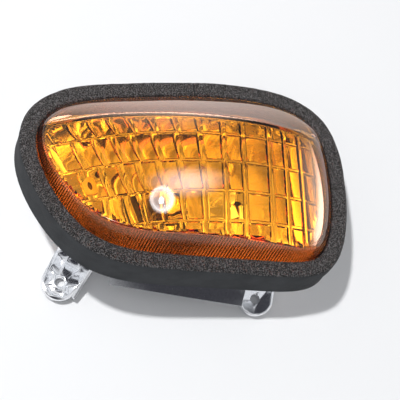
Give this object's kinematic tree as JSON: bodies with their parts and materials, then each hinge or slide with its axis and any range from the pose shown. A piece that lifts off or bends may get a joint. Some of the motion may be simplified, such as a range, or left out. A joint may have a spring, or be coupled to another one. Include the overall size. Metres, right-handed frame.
{
  "type": "motorcycle turn signal",
  "caption": "Right front fairing turn signal: domed amber lens in a foam-sealed mirrored housing with fixing ear, tab and locating peg, and a twist-lock bulb holder.",
  "frame": {"origin": "midway between the two fixing holes, on the plane that their bosses bear on", "axes": "+Z along the fixing holes' axes, out through the lens; +X from the ear's hole to the tab's hole; +Y towards the lamp's upper edge"},
  "size_m": [0.1964, 0.1322, 0.0981],
  "materials": {
    "chrome_plastic": "vacuum-metallised plastic, mirror",
    "amber_lens": "clear amber moulding, polished outside, optics inside",
    "butyl": "matt black sealing bead",
    "foam": "charcoal cellular foam, cut faces",
    "black_rubber": "satin black rubber",
    "holder_nylon": "dark glass-filled nylon",
    "tinned_steel": "bright plated spring steel",
    "phenolic": "brown pressed board",
    "contact_brass": "bright brass",
    "solder": "dull tin solder",
    "base_glass": "black vitrite",
    "clear_glass": "clear blown glass",
    "tungsten": "dark drawn wire"
  },
  "bodies": {
    "lamp": {"housing": "chrome_plastic", "lens": "amber_lens", "lens_sealant": "butyl", "foam_seal": "foam", "vent_cap": "black_rubber"},
    "bulb_holder": {"holder_body": "holder_nylon", "holder_seal": "black_rubber", "socket_sleeve": "tinned_steel", "contact_carrier": "phenolic", "contact_button": "contact_brass", "contact_spring": "tinned_steel", "terminal_live": "contact_brass", "terminal_earth": "contact_brass", "bulb_base": "contact_brass", "base_pins": "contact_brass", "base_insulator": "base_glass", "base_contact": "solder", "bulb_glass": "clear_glass", "glass_stem": "clear_glass", "support_wires": "tinned_steel", "filament": "tungsten"}
  },
  "joints": [
    {"name": "holder_turn", "type": "hinge", "parent": "lamp", "child": "bulb_holder", "pos_m": [-0.0105, 0.035, 0.0155], "axis": [0, 0, 1], "range_deg": [0, 45]}
  ]
}
